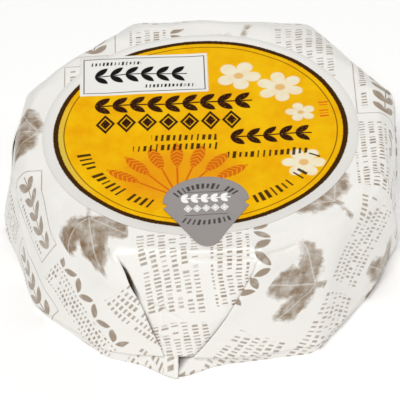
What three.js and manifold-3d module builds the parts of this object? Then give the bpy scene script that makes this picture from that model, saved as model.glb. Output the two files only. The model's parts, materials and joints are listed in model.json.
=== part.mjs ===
// A small soft cheese wheel shut inside a pleated paper wrapper, with a round label on its top.
// Millimetres and degrees, +Z up. The front is at -Y and the base stands on Z = 0.
import * as THREE from 'three';
import { mergeVertices } from 'three/addons/utils/BufferGeometryUtils.js';
import Module from 'manifold-3d';

// Driving dimensions of the wrapped wheel
const HEIGHT = 29;
const TOP_FLAT_RADIUS = 36;
const CORE_RADIUS = 37.8;
const SHOULDER_DROP = 4.5;
const HEM_HEIGHT = 2.6;
const BASE_INSET = 0.8;

// Corners of the paper in anticlockwise order, as azimuth and radius.
// Each rim corner is followed by the foot corner that its facet runs down to.
const CORNERS = [
  { rim: [-117, 40.6], foot: [-99, 40.8] },
  { rim: [-76, 40.8], foot: [-58, 42.6] },
  { rim: [-51, 40.4], foot: [-31, 38.8] },
  { rim: [-26, 41.0], foot: [-3, 41.2] },
  { rim: [14, 42.6], foot: [36, 41.4] },
  { rim: [56, 45.0], foot: [82, 41.4] },
  { rim: [110, 43.4], foot: [127, 41.4] },
  { rim: [151, 41.3], foot: [168, 44.3] },
  { rim: [191, 40.4], foot: [208, 40.9] },
  { rim: [221, 39.8], foot: [241, 41.6] },
];
// Degrees between the neighbouring radii that are averaged to round a fold
const FOLD_ROUNDING = 2.4;
const FOLD_SAMPLES = [-2, -1, 0, 1, 2];

// Side panels, each tucked under the flaps at its two edges, as the azimuths of those edges
const SIDE_PANELS = [
  { rim: [-117, -76], foot: [-104, -93] },
  { rim: [-26, 14], foot: [-10, 3] },
  { rim: [56, 110], foot: [76, 90] },
  { rim: [151, 191], foot: [164, 178] },
];
// A flap lifts off by this step at the foot of its free edge, and settles again over these degrees
const FLAP_STEP = 0.8;
const FLAP_FADE = 16;

// The point of folded paper that flares out at the foot of the front panel
const TUCK_AZIMUTH = -99;
const TUCK_FLARE = 2.2;
const TUCK_SPREAD = 7;

// Label: a disc joined with the name box that crosses its edge and the badge's tab
const LABEL_RADIUS = 32.2;
const LABEL_THICKNESS = 0.25;
const BOX_LEFT = -24.6;
const BOX_RIGHT = 2.2;
const BOX_BOTTOM = 12.8;
const BOX_TOP = 25.8;

// Badge: a half ellipse above two small notches, and a blunt point below them
const BADGE_THICKNESS = 0.25;
const BADGE_X = 0.45;
const BADGE_WAIST_Y = -22.3;
const BADGE_HALF_WIDTH = 8.5;
const BADGE_ARCH = 6.8;
const BADGE_NOTCH_DEPTH = 0.8;
const BADGE_NOTCH_DROP = 0.9;
const BADGE_LOWER_Y = -24.6;
const BADGE_TIP_Y = -35.7;
const BADGE_TIP_HALF_WIDTH = 2.1;
const BADGE_TIP_RISE = 1.2;

// Mesh fineness
const PANEL_STEPS = 10;
const FLAP_STEPS = 18;
const SHOULDER_STEPS = 6;
const WALL_STEPS = 9;
const CURVE_SEGMENTS = 48;
const MERGE_DISTANCE = 1e-3;
const CORNER_TOLERANCE = 1e-6;

const { lerp, degToRad, euclideanModulo } = THREE.MathUtils;

function onCircle([azimuth, radius]) {
  const angle = degToRad(azimuth);
  return new THREE.Vector2(radius * Math.cos(angle), radius * Math.sin(angle));
}

// Outline of the wall at a fraction of the way from rim to foot: each slanting fold gives one corner
function wallOutline(fraction) {
  return CORNERS.flatMap((corner, i) => {
    const foot = onCircle(corner.foot);
    const nextRim = onCircle(CORNERS[(i + 1) % CORNERS.length].rim);
    return [onCircle(corner.rim).lerp(foot, fraction), nextRim.lerp(foot, fraction)];
  });
}

// Distance from the axis to a closed outline along one azimuth
function outlineRadius(outline, azimuth) {
  const along = onCircle([azimuth, 1]);
  for (let i = 0; i < outline.length; i += 1) {
    const start = outline[i];
    const side = outline[(i + 1) % outline.length].clone().sub(start);
    const turn = along.cross(side);
    const share = start.cross(along) / turn;
    const radius = start.cross(side) / turn;
    if (radius > 0 && share > -CORNER_TOLERANCE && share < 1 + CORNER_TOLERANCE) {
      return radius;
    }
  }
  return CORE_RADIUS;
}

// Radius of the paper with its folds rounded, never inside the cheese
function wallRadius(outline, azimuth) {
  const radii = FOLD_SAMPLES.map((k) => outlineRadius(outline, azimuth + k * FOLD_ROUNDING));
  const mean = radii.reduce((sum, radius) => sum + radius, 0) / radii.length;
  return Math.max(mean, CORE_RADIUS);
}

// How far the paper flares out at the foot of the front panel
function tuckFlare(azimuth) {
  const away = euclideanModulo(azimuth - TUCK_AZIMUTH + 180, 360) - 180;
  return TUCK_FLARE * Math.exp(-((away / TUCK_SPREAD) ** 2));
}

// Columns of the wrapper's mesh at a fraction of the wall: azimuth, and the lift of a flap there.
// A flap's free edge has two columns, one on the panel below it and one on the flap.
function columns(fraction) {
  const edges = SIDE_PANELS.map(({ rim, foot }) => [0, 1].map((k) => lerp(rim[k], foot[k], fraction)));
  return edges.flatMap(([start, end], i) => {
    const next = edges[(i + 1) % edges.length][0];
    const nextStart = next < end ? next + 360 : next;
    const row = [];
    for (let j = 0; j <= PANEL_STEPS; j += 1) {
      row.push({ azimuth: lerp(start, end, j / PANEL_STEPS), lift: 0 });
    }
    for (let j = 0; j <= FLAP_STEPS; j += 1) {
      const azimuth = lerp(end, nextStart, j / FLAP_STEPS);
      const fromEdge = Math.min(azimuth - end, nextStart - azimuth);
      row.push({ azimuth, lift: FLAP_STEP * fraction * Math.exp(-fromEdge / FLAP_FADE) });
    }
    return row;
  });
}

function ring(fraction, height, radiusOf) {
  return columns(fraction).map((column) => {
    const { x, y } = onCircle([column.azimuth, radiusOf(column)]);
    return new THREE.Vector3(x, y, height);
  });
}

function wrapperRings() {
  const rings = [];
  const rim = wallOutline(0);
  for (let i = 0; i <= SHOULDER_STEPS; i += 1) {
    const angle = (Math.PI / 2) * (i / SHOULDER_STEPS);
    const height = HEIGHT - SHOULDER_DROP * (1 - Math.cos(angle));
    rings.push(ring(0, height, ({ azimuth }) =>
      lerp(TOP_FLAT_RADIUS, wallRadius(rim, azimuth), Math.sin(angle))));
  }
  for (let i = 1; i <= WALL_STEPS; i += 1) {
    const fraction = i / WALL_STEPS;
    const outline = wallOutline(fraction);
    const height = lerp(HEIGHT - SHOULDER_DROP, HEM_HEIGHT, fraction);
    rings.push(ring(fraction, height, ({ azimuth, lift }) => wallRadius(outline, azimuth) + lift));
  }
  const foot = wallOutline(1);
  rings.push(ring(1, 0, ({ azimuth, lift }) =>
    wallRadius(foot, azimuth) + lift - BASE_INSET + tuckFlare(azimuth)));
  return rings;
}

// One closed surface from a centre point on top, rings from the top down, and a centre point below
function closedSurface(top, rings, bottom) {
  const points = [top, ...rings.flat(), bottom];
  const count = rings[0].length;
  const at = (level, column) => 1 + level * count + (column % count);
  const triangles = [];
  for (let column = 0; column < count; column += 1) {
    triangles.push([0, at(0, column), at(0, column + 1)]);
    for (let level = 0; level + 1 < rings.length; level += 1) {
      triangles.push([at(level, column), at(level + 1, column), at(level + 1, column + 1)]);
      triangles.push([at(level, column), at(level + 1, column + 1), at(level, column + 1)]);
    }
    triangles.push([points.length - 1, at(rings.length - 1, column + 1), at(rings.length - 1, column)]);
  }
  const geometry = new THREE.BufferGeometry().setFromPoints(points);
  geometry.setIndex(triangles.flat());
  return withoutSlivers(mergeVertices(geometry, MERGE_DISTANCE));
}

// Drops the triangles that lost a corner when equal points were merged
function withoutSlivers(geometry) {
  const index = Array.from(geometry.index.array);
  const kept = [];
  for (let i = 0; i < index.length; i += 3) {
    const [a, b, c] = index.slice(i, i + 3);
    if (a !== b && b !== c && c !== a) {
      kept.push(a, b, c);
    }
  }
  geometry.setIndex(kept);
  geometry.computeVertexNormals();
  return geometry;
}

function wrapperGeometry() {
  return closedSurface(new THREE.Vector3(0, 0, HEIGHT), wrapperRings(), new THREE.Vector3(0, 0, 0));
}

function plate(shape, thickness, height) {
  const options = { depth: thickness, bevelEnabled: false, curveSegments: CURVE_SEGMENTS };
  return new THREE.ExtrudeGeometry(shape, options).translate(0, 0, height);
}

function discShape() {
  return new THREE.Shape().absarc(0, 0, LABEL_RADIUS, 0, 2 * Math.PI);
}

function boxShape() {
  return new THREE.Shape([
    new THREE.Vector2(BOX_LEFT, BOX_BOTTOM),
    new THREE.Vector2(BOX_RIGHT, BOX_BOTTOM),
    new THREE.Vector2(BOX_RIGHT, BOX_TOP),
    new THREE.Vector2(BOX_LEFT, BOX_TOP),
  ]);
}

function badgeShape() {
  const left = BADGE_X - BADGE_HALF_WIDTH;
  const right = BADGE_X + BADGE_HALF_WIDTH;
  const notchY = BADGE_WAIST_Y - BADGE_NOTCH_DROP;
  const tipY = BADGE_TIP_Y + BADGE_TIP_RISE;
  return new THREE.Shape()
    .absellipse(BADGE_X, BADGE_WAIST_Y, BADGE_HALF_WIDTH, BADGE_ARCH, 0, Math.PI)
    .lineTo(left + BADGE_NOTCH_DEPTH, notchY)
    .lineTo(left, BADGE_LOWER_Y)
    .lineTo(BADGE_X - BADGE_TIP_HALF_WIDTH, tipY)
    .quadraticCurveTo(BADGE_X, BADGE_TIP_Y - BADGE_TIP_RISE, BADGE_X + BADGE_TIP_HALF_WIDTH, tipY)
    .lineTo(right, BADGE_LOWER_Y)
    .lineTo(right - BADGE_NOTCH_DEPTH, notchY);
}

const wasm = await Module();
wasm.setup();

function toSolid(geometry) {
  const bare = geometry.clone();
  bare.deleteAttribute('normal');
  bare.deleteAttribute('uv');
  const merged = mergeVertices(bare, MERGE_DISTANCE);
  const vertProperties = new Float32Array(merged.attributes.position.array);
  const triVerts = new Uint32Array(merged.index.array);
  return new wasm.Manifold(new wasm.Mesh({ numProp: 3, vertProperties, triVerts }));
}

function toGeometry(solid) {
  const { vertProperties, triVerts } = solid.getMesh();
  const geometry = new THREE.BufferGeometry();
  geometry.setAttribute('position', new THREE.BufferAttribute(new Float32Array(vertProperties), 3));
  geometry.setIndex(Array.from(triVerts));
  geometry.computeVertexNormals();
  return geometry;
}

function labelGeometry() {
  const [disc, box, tab] = [discShape(), boxShape(), badgeShape()]
    .map((shape) => toSolid(plate(shape, LABEL_THICKNESS, HEIGHT)));
  return toGeometry(disc.add(box).add(tab));
}

function badgeGeometry() {
  return plate(badgeShape(), BADGE_THICKNESS, HEIGHT + LABEL_THICKNESS);
}

function namedMesh(name, geometry, color, roughness) {
  const mesh = new THREE.Mesh(geometry, new THREE.MeshStandardMaterial({ color, roughness, metalness: 0 }));
  mesh.name = name;
  return mesh;
}

const cheeseWheel = new THREE.Group();
cheeseWheel.add(
  namedMesh('wrapper', wrapperGeometry(), 0xf1efea, 0.6),
  namedMesh('label', labelGeometry(), 0xf0b512, 0.55),
  namedMesh('badge', badgeGeometry(), 0x9b9694, 0.5),
);

export default cheeseWheel;
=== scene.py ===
"""A small soft cheese wheel shut in a pleated, printed paper wrapper, with a round label on its top."""
import json
import math
from collections import namedtuple
from functools import reduce

import bmesh
import bpy
import numpy as np
from mathutils import Matrix, Vector

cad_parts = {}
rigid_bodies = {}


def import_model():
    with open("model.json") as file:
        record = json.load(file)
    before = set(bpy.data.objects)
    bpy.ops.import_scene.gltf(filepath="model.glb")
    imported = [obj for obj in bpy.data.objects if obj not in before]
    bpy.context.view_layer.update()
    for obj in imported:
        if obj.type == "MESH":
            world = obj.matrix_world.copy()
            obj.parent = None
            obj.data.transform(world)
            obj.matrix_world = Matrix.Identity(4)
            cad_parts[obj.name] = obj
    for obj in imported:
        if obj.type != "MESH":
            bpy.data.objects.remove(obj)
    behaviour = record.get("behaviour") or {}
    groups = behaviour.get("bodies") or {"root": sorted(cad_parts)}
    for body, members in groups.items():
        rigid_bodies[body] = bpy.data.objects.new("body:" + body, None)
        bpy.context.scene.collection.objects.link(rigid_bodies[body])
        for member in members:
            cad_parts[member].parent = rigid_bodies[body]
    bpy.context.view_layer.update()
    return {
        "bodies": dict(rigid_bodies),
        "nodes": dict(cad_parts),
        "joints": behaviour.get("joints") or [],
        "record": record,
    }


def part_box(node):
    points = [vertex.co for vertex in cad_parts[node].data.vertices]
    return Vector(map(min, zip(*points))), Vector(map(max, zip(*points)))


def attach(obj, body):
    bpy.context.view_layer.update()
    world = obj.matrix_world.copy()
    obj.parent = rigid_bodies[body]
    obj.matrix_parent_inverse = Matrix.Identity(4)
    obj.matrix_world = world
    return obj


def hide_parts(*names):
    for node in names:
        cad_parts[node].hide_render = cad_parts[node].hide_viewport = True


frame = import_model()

# Millimetres and degrees throughout. Meshes are scaled to metres when they are made.
MM = 0.001
TINY = 1e-9

# The wrapped wheel
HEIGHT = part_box("wrapper")[1].z / MM
TOP_FLAT_RADIUS = 36.0
CORE_RADIUS = 37.8
SHOULDER_DROP = 4.5
HEM_HEIGHT = 2.6
BASE_INSET = 0.8
BASE_DISH = 0.35
BASE_DISH_SHARE = 0.4
BASE_SHUT_SHARE = 0.3

# Corners of the paper in anticlockwise order, as azimuth and radius at the rim and at the foot
RIM_CORNERS = np.array([
    (-117, 40.6), (-76, 40.8), (-51, 40.4), (-26, 40.8), (17, 42.4),
    (58.5, 45.7), (108, 43.1), (152, 40.8), (191, 39.2), (221, 39.6),
])
FOOT_CORNERS = np.array([
    (-99, 40.8), (-60, 42.8), (-30, 39.3), (-6, 40.5), (36, 41.0),
    (82, 41.4), (127, 41.0), (168, 43.6), (210, 40.9), (239.5, 41.6),
])
FOLD_ROUNDING = 1.2
FOLD_SAMPLES = (-2, -1, 0, 1, 2)
CORE_EASE = 0.5

# Free edges of the flaps. An edge opens at a share of the way from the top of the shoulder to the hem. Then
# come its azimuths where it opens and at the hem, how it bends on its way down, its lift off the panel
# below, how far its fold is puffed up where it opens, and its gapes as (share passed, spread, extra lift).
Edge = namedtuple("Edge", "opens top foot bend lift puff gapes")
# A side panel lies below the flaps at its start and end, and its foot is tucked in at its middle
Panel = namedtuple("Panel", "start middle end")
PANELS = [
    Panel(
        Edge(0.13, -117, -103.4, 0.7, 0.4, 0.2, [(0.24, 0.12, 0.7), (0.62, 0.1, 0.15)]),
        -99.2,
        Edge(0.13, -75.6, -94.6, 1.2, 0.4, 0.5, [(0.75, 0.15, 0.1)]),
    ),
    Panel(
        Edge(0.02, -24, -9.5, 2.0, 0.4, 0.5, [(0.35, 0.2, 0.2)]),
        -5.5,
        Edge(0.12, 17, -1.5, 1.2, 0.22, 0.1, [(0.6, 0.15, 0.15)]),
    ),
    Panel(
        Edge(0.16, 58.5, 77, 0.8, 0.35, 0.1, [(0.4, 0.2, 0.4)]),
        82.0,
        Edge(0.15, 108, 88, 1.2, 0.35, 0.1, [(0.6, 0.2, 0.3)]),
    ),
    Panel(
        Edge(0.14, 152, 166, 0.8, 0.35, 0.1, [(0.45, 0.2, 0.35)]),
        171.0,
        Edge(0.12, 191, 176, 1.1, 0.35, 0.1, [(0.6, 0.2, 0.2)]),
    ),
]
# Lengths of paper down the shoulder and down the wall
SHOULDER_LENGTH = 7.15
WALL_DEPTH = HEIGHT - SHOULDER_DROP - HEM_HEIGHT
PLEAT_LENGTH = SHOULDER_LENGTH + WALL_DEPTH
PUFF_FADE = 0.16
NOSE_TURNS = (35, 75, 105, 145)
FLAP_FADE = 11.0
PAPER_THICKNESS = 0.32
FOLD_CLEARANCE = 0.03
TUCK_DEPTH = 6.0
PANEL_RECESS = 0.3
GAPE_RECESS = 0.3
RECESS_FADE = 5.0
GAPE_SWELL = 0.6
SWELL_LEAD = 0.2
SWELL_START = 1.2
SWELL_FADE = 5.0
GAPE_POCKET = 1.6
POCKET_AWAY = -0.5
POCKET_SPREAD = 0.8
OPENING_END = 0.08
# Degrees before and behind a flap's edge over which the panel below it turns from outside to inside, and so
# from bare paper to painted shade
PAINTED_SHADE_EDGE = 0.2
PAINTED_SHADE_FULL = 0.8

# The tuck in the foot of each side panel
HEM_LIP = 0.2
HEM_LIP_SHARE = 0.2
HEM_LIP_DROP = 0.25
HEM_LIP_FADE = 0.05
HEM_SHUT_SHARE = 0.2
HEM_OPEN_SHARE = 0.3
HEM_UNDERCUT = 0.12
HEM_PANEL_UNDERCUT = 0.5
HEM_PANEL_SPREAD = 14.0
HEM_TUCK_LIFT = 0.7
HEM_TUCK_DEPTH = 2.5
HEM_TUCK_FADE = 8.0
HEM_POCKET = 1.8
HEM_POCKET_WIDTH = 6.0
HEM_POCKET_EDGE = 0.4
# Share of painted shade in the pocket under the hem's lip
HEM_POCKET_PAINTED_SHADE = 0.67
FLARE_AZIMUTH = -99.2
FLARE = 2.2
FLARE_SPREAD = 8.0
# The hem is higher where the flange flares
HEM_ARCH = 1.6
HEM_ARCH_SPREAD = 12.0
HEM_ARCH_POWER = 3

# Mesh fineness of the wrapper
TOP_SPARSE_RADII = (8.0, 30.0)
TOP_SPARSE_ROWS = 4
TOP_DENSE_START = 31.0
TOP_DENSE_STEP = 0.5
EDGE_COLUMNS = 38
EDGE_REACH = 5.0
EDGE_REACH_SHARE = 0.6
PANEL_COLUMNS = 16
FLAP_COLUMNS = 84
SHOULDER_ROWS = 26
WALL_ROWS = 55
HEM_ROWS = 12
BASE_ROWS = 6
BASE_ROW_POWER = 1.5
WELD_DISTANCE = 1e-7

# Low facets that the paper takes up all over, from seeded waves that bend and fade across their run
RELIEF_SEED = 11
RELIEF_WAVES = 12
RELIEF_LENGTHS = (7.0, 26.0)
RELIEF_STEEPNESS = 0.02
RELIEF_PHASE = 6.0
RELIEF_BEND = 0.2
RELIEF_BEND_RATE = 3.0
RELIEF_FADE_RATE = 2.2
TOP_RELIEF_SHARE = 0.45

# Creases of the paper near the pleats: azimuth and height at start and end, depth and width. A crease of
# negative depth is a ridge. Puffs: azimuth, height, reach and rise. One of negative rise is a dent.
CREASES = [
    (-96, 27.6, -74.5, 28.2, 0.9, 0.7),
    (-98, 28.6, -77, 29.0, -0.3, 0.7),
    (-77.5, 27.7, -60, 27.0, 0.8, 0.7),
    (-75, 28.6, -60, 28.0, -0.45, 0.7),
    (-66, 27.3, -56, 29.0, 0.3, 0.8),
    (-130, 29.2, -122, 27.5, 0.45, 0.45),
    (-124, 27.6, -118.5, 27.5, 0.45, 0.5),
    (-120, 27.8, -116, 25.6, 0.5, 0.5),
    (-109, 17.6, -97, 12.6, 0.55, 0.6),
    (-104, 20.0, -101.6, 10.5, 0.35, 0.6),
    (-105.2, 10.4, -101, 10.6, 0.35, 0.45),
    (-105, 7.7, -100.4, 8.2, 0.35, 0.45),
    (-104.6, 5.0, -100.6, 5.5, 0.3, 0.45),
    (-75, 25.5, -52, 10.0, -0.3, 1.6),
    (-115, 24.5, -136, 8.0, -0.3, 1.6),
    (-8, 29.4, -17, 27.8, -0.35, 1.0),
    (-15, 28.2, -22, 24.8, -0.35, 1.0),
    (-25, 28.6, -38, 27.6, 0.35, 1.0),
    (-25, 24.0, -46, 9.0, -0.3, 1.6),
    (17, 25.5, 34, 10.0, -0.3, 1.6),
    (58.5, 26.0, 42, 9.0, -0.3, 1.6),
    (62, 27.8, 84, 28.2, 0.25, 0.9),
    (108, 25.0, 129, 11.0, -0.3, 1.6),
    (152, 25.0, 138, 10.0, -0.3, 1.6),
    (158, 28.2, 176, 27.8, 0.25, 0.9),
    (191, 25.0, 209, 9.0, -0.3, 1.6),
]
PUFFS = [
    (-74.2, 27.7, 1.1, 0.4),
    (-117.4, 26.8, 1.1, 0.35),
    (-24, 29.0, 1.4, 0.25),
    (193, 21.5, 3.0, -0.7),
    (-6, 8.0, 3.0, -0.7),
]
DEGREE_LENGTH = 0.69
CREASE_TAPER = 0.6
CREASE_START_LEAN = 0.15

# Label and badge outlines
LABEL_RADIUS = -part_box("label")[0].x / MM
LABEL_THICKNESS = 0.18
LABEL_GAP = 0.01
BOX_LEFT, BOX_RIGHT = -24.6, 2.2
BOX_BOTTOM, BOX_TOP = 12.8, 25.8
BADGE_THICKNESS = 0.2
BADGE_GAP = 0.02
BADGE_X = 0.45
BADGE_WAIST_Y = -22.3
BADGE_HALF_WIDTH = 8.5
BADGE_ARCH = 7.3
BADGE_NOTCH_DEPTH = 0.8
BADGE_NOTCH_STEPS = 9
BADGE_LOWER_Y = -24.1
BADGE_TIP_Y = -35.7
BADGE_TIP_HALF_WIDTH = 2.1
BADGE_TIP_RISE = 1.2
BADGE_CENTRE = (BADGE_X, -25.0)
PLATE_COLUMNS = 480
PLATE_ROWS = 25
PLATE_INNER_SHARE = 0.04
PLATE_UNDER_STEP = 4
PLATE_EDGE = 0.06
CURVE_STEPS = 40

# The print lies on the flat sheet's coordinates, and its ink has a soft edge
SHEET_MAP = "sheet"
SHEET_UNIT = 100.0
# Name of the point attribute that holds the share of painted shade in the folds and the hem pockets
PAINTED_SHADE_ATTRIBUTE = "painted_fold_shade"
PRINT_EDGE = 0.16

# Motifs of the print. Garlands and lozenges run along x from left, at some level. A leaf is a length and a
# width. A caption is a short row of ticks, and an arc has ticks about a point on the y axis.
Garland = namedtuple("Garland", "left level length pitch leaf lean stem")
Lozenges = namedtuple("Lozenges", "left level length pitch half_height")
Ticks = namedtuple("Ticks", "pitch height step")
Caption = namedtuple("Caption", "middle level half_length height step seed")
Arc = namedtuple("Arc", "centre_y radius start end height step seed")
Blossom = namedtuple("Blossom", "x y radius petals turn")

# Half sizes of a tick as shares of its step and height, each with a random extra, and the share of gaps
TICK_SLANT = 0.12
TICK_WIDTH, TICK_EXTRA_WIDTH = 0.12, 0.2
TICK_HEIGHT, TICK_EXTRA_HEIGHT = 0.3, 0.2
TICK_GAPS = 0.14
TICK_SHIFT = 50.0
# Half width of a lozenge as a share of its pitch, and the place and half width of the bare line in it
LOZENGE_WIDTH = 0.47
LOZENGE_LINE_PLACE, LOZENGE_LINE = 0.6, 0.07
BLOSSOM_NOTCH, BLOSSOM_ROUNDING, BLOSSOM_MIDDLE = 0.4, 0.5, 0.22
VINE_LOBE, VINE_SIDE_LOBE = (14.0, 6.6), (10.4, 5.6)
VINE_SIDE_FOOT, VINE_SIDE_LEAN = 1.0, 52
VINE_STALK_X, VINE_STALK = -1.8, (2.2, 0.3)
VINE_RIB_START, VINE_RIB, VINE_SIDE_RIB = 0.8, 0.14, 0.12
VINE_MIDDLE = 5.5

# The wrapper's print is in blocks, each with a random seed, a random turn in radians for a leaf, and a
# random number that picks its kind. A kind has the end of its range and the strength of its ink.
CELL_WIDTH = 15.0
CELL_LENGTH = 22.0
PRINT_SEED = 2.0
SEED_RANGE = 90.0
TURN_RANGE = 6.28
TICKS_END, TICKS_INK = 0.30, 0.72
HEADED_END, HEADED_INK = 0.50, 0.85
FRAMED_END, FRAMED_INK = 0.66, 0.82
BRUSHED_END = 0.92
BLOCK_HALF = (CELL_LENGTH / 2 - 1.2, CELL_WIDTH / 2 - 0.9)
BLOCK_TICKS = Ticks(2.1, 1.5, 0.95)
HEAD_LEVEL, HEAD_PITCH, HEAD_LEAF, HEAD_LEAN = 3.6, 2.7, (3.9, 1.6), 58
HEADED_TOP, HEADED_TICKS = 1.0, Ticks(1.9, 1.3, 0.85)
FRAME_HALF = (CELL_LENGTH / 2 - 1.6, CELL_WIDTH / 2 - 2.2)
FRAME_LINE = 0.09
FRAME_GARLAND = Garland(-8.5, 0.8, 17.0, 3.4, (4.0, 1.7), 42, 0.16)
FRAME_CAPTION = Caption(0.0, -3.6, 8.0, 1.3, 0.9, None)

# The label's print
RING_RADIUS, RING_HALF = 29.475, 0.525
FIELD_RADIUS = 29.4
FADED_RADIUS = 27.9
LINE_RADIUS, LINE_HALF = 27.8, 0.11
PICTURE_RADIUS = 27.4
SHEAF_X, SHEAF_Y = -5.0, -20.5
SHEAF_STALKS, SHEAF_SPREAD = 7, 19.0
SHEAF_STALK, SHEAF_STEM, SHEAF_EAR = 9.0, 0.2, (8.0, 2.6)
GRAIN_SLANT, GRAIN_PITCH, GRAIN_NOTCH = 0.8, 0.55, 0.12
WASH_Y, WASH_RADIUS, WASH_SQUEEZE = -14.0, 8.5, 0.75
BLOSSOMS = [
    Blossom(8.4, 17.6, 4.6, 5, 10),
    Blossom(16.8, 13.2, 4.9, 6, 24),
    Blossom(20.6, 4.4, 3.1, 5, 40),
    Blossom(20.4, -11.6, 4.4, 6, 5),
]
LABEL_GARLANDS = [
    Garland(-21.5, 9.2, 32.4, 3.6, (4.1, 1.8), 40, 0.22),
    Garland(6.0, -2.4, 16.5, 3.3, (3.7, 1.6), 40, 0.2),
]
LABEL_LOZENGES = Lozenges(-21.5, 3.2, 30.1, 4.3, 3.0)
UPRIGHT_CAPTION = Caption(5.4, 25.4, 2.7, 2.2, 0.9, 71.0)
LABEL_CAPTIONS = [
    Caption(-3.4, -2.1, 6.6, 2.3, 1.2, 51.0),
    Caption(-5.2, -5.0, 8.6, 2.3, 1.2, 53.0),
    Caption(13.5, -8.0, 8.2, 2.3, 1.2, 55.0),
]
LABEL_ARCS = [
    Arc(0.0, 24.6, 194, 246, 2.8, 1.4, 57.0),
    Arc(0.0, 24.6, 294, 338, 2.8, 1.4, 59.0),
]
BOX_TOOTH, BOX_TOOTH_DEPTH = 0.3, 1.2
BOX_LINE_INSET, BOX_LINE = 0.85, 0.1
BOX_GARLAND = Garland(-21.5, 19.3, 19.2, 3.2, (3.7, 1.5), 43, 0.16)
BOX_CAPTIONS = [
    Caption(-17.0, 23.2, 5.2, 1.3, 0.8, 41.0),
    Caption(-6.2, 15.3, 5.6, 1.3, 0.8, 43.0),
]

# The badge's print
BADGE_ARCS = [
    Arc(-26.0, 8.2, 42, 138, 1.8, 1.0, 61.0),
    Arc(-17.5, 11.3, 246, 294, 1.8, 1.0, 63.0),
]
BADGE_RULE_LEVELS, BADGE_RULE = (-19.6, -26.5), (4.2, 0.08)
BADGE_GARLAND = Garland(-4.9, -21.5, 9.8, 1.96, (1.85, 1.05), 42, 0.16)
BADGE_LOZENGES = Lozenges(-4.5, -24.5, 9.0, 1.8, 1.1)

# Papers: their roughness and sheen, and how close together and how deep their fibres are
Paper = namedtuple("Paper", "roughness specular fibre_rate fibre_depth")
WRAPPER_PAPER = Paper(0.38, 0.6, 2.0, 0.05)
LABEL_PAPER = Paper(0.6, 0.03, 2.5, 0.03)
BADGE_PAPER = Paper(0.5, 0.15, 2.5, 0.03)

# The camera and the photograph's frame
CAMERA_ELEVATION = 38.93
CAMERA_DISTANCE = 600.0
CAMERA_ROLL = 2.6
CAMERA_AIM = (-0.73, -8.94, 18.24)
SENSOR_WIDTH = 36.0
LENS = 265.5

# Lights: places and sizes in metres and powers in watts
Light = namedtuple("Light", "name position size power")
LIGHTS = [
    Light("front_softbox", (-0.14, -0.62, 0.9), 0.35, 6.7),
    Light("back_softbox", (0.15, 0.8, 0.8), 0.6, 1.6),
    Light("right_fill", (0.9, 0.1, 0.6), 0.5, 0.9),
]
LIGHT_AIM = (0, 0, 0.01)
WORLD_COLOUR = (1.0, 0.995, 0.98, 1)
WORLD_STRENGTH = 0.4
FLOOR_HALF_WIDTH = 1500
FLOOR_ROUGHNESS, FLOOR_SPECULAR, FLOOR_GLOW = 0.6, 0.1, 0.07


def lerp(start, end, share):
    return start + (end - start) * share


def rise(low, high, value):
    """Smooth step from 0 at low to 1 at high."""
    share = np.clip((value - low) / (high - low), 0, 1)
    return share * share * (3 - 2 * share)


def on_circle(azimuth, radius):
    angle = np.radians(azimuth)
    return np.stack([radius * np.cos(angle), radius * np.sin(angle)], axis=-1)


def cross(first, second):
    return first[..., 0] * second[..., 1] - first[..., 1] * second[..., 0]


def degrees_apart(azimuth, other):
    return np.mod(azimuth - other + 180, 360) - 180


def polygon_reach(corners, azimuth):
    """How far each ray from the origin runs before it leaves a polygon for the last time, or 0."""
    along = on_circle(azimuth, 1.0)[:, None, :]
    start = corners[None, :, :]
    side = np.roll(corners, -1, axis=0)[None, :, :] - start
    turn = cross(along, side)
    turn = np.where(np.abs(turn) < TINY, TINY, turn)
    share = cross(start, along) / turn
    reach = cross(start, side) / turn
    hit = (share >= -TINY) & (share <= 1 + TINY) & (reach > 0)
    return np.where(hit, reach, 0).max(axis=1)


# The wrapper's shape

def wall_outline(fraction):
    """Corners of the wall's outline at a fraction of the way from rim to foot."""
    rims = on_circle(RIM_CORNERS[:, 0], RIM_CORNERS[:, 1])
    feet = on_circle(FOOT_CORNERS[:, 0], FOOT_CORNERS[:, 1])
    next_rims = np.roll(rims, -1, axis=0)
    corners = [lerp(rims, feet, fraction), lerp(next_rims, feet, fraction)]
    return np.stack(corners, axis=1).reshape(-1, 2)


def wall_radius(azimuth, fraction):
    """Radius of the paper with its folds rounded, eased over the round cheese inside."""
    outline = wall_outline(fraction)
    radii = [polygon_reach(outline, azimuth + step * FOLD_ROUNDING) for step in FOLD_SAMPLES]
    mean = np.mean(radii, axis=0)
    return (mean + CORE_RADIUS + np.hypot(mean - CORE_RADIUS, CORE_EASE)) / 2


# One row of the wrapper's mesh, from the top's middle down over the wall and in under the base.
# reach goes from an inner radius to the wall, and lean from facing up to facing out. fraction, paper and
# bevel are the shares passed of the wall, the shoulder and the hem, and pleat of the way from the
# shoulder's top to the hem. depth is the length of paper below the rim. free is how far the flaps' edges
# are free of the panels, and hem how far the tuck in a panel's foot is open.
ROW_FIELDS = "inner reach height fraction pleat free hem bevel lean paper depth"
Row = namedtuple("Row", ROW_FIELDS, defaults=[0] * len(ROW_FIELDS.split()))


def top_rows():
    sparse = np.linspace(*TOP_SPARSE_RADII, TOP_SPARSE_ROWS)
    dense = np.arange(TOP_DENSE_START, TOP_FLAT_RADIUS, TOP_DENSE_STEP)
    return [Row(inner=radius, height=HEIGHT) for radius in (*sparse, *dense)]


def shoulder_rows():
    rows = []
    for share in np.linspace(0, 1, SHOULDER_ROWS, endpoint=False):
        angle = share * math.pi / 2
        height = HEIGHT - SHOULDER_DROP * (1 - math.cos(angle))
        pleat = share * SHOULDER_LENGTH / PLEAT_LENGTH
        reach = math.sin(angle)
        rows.append(Row(TOP_FLAT_RADIUS, reach, height, pleat=pleat, free=1, lean=share, paper=share))
    return rows


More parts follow.
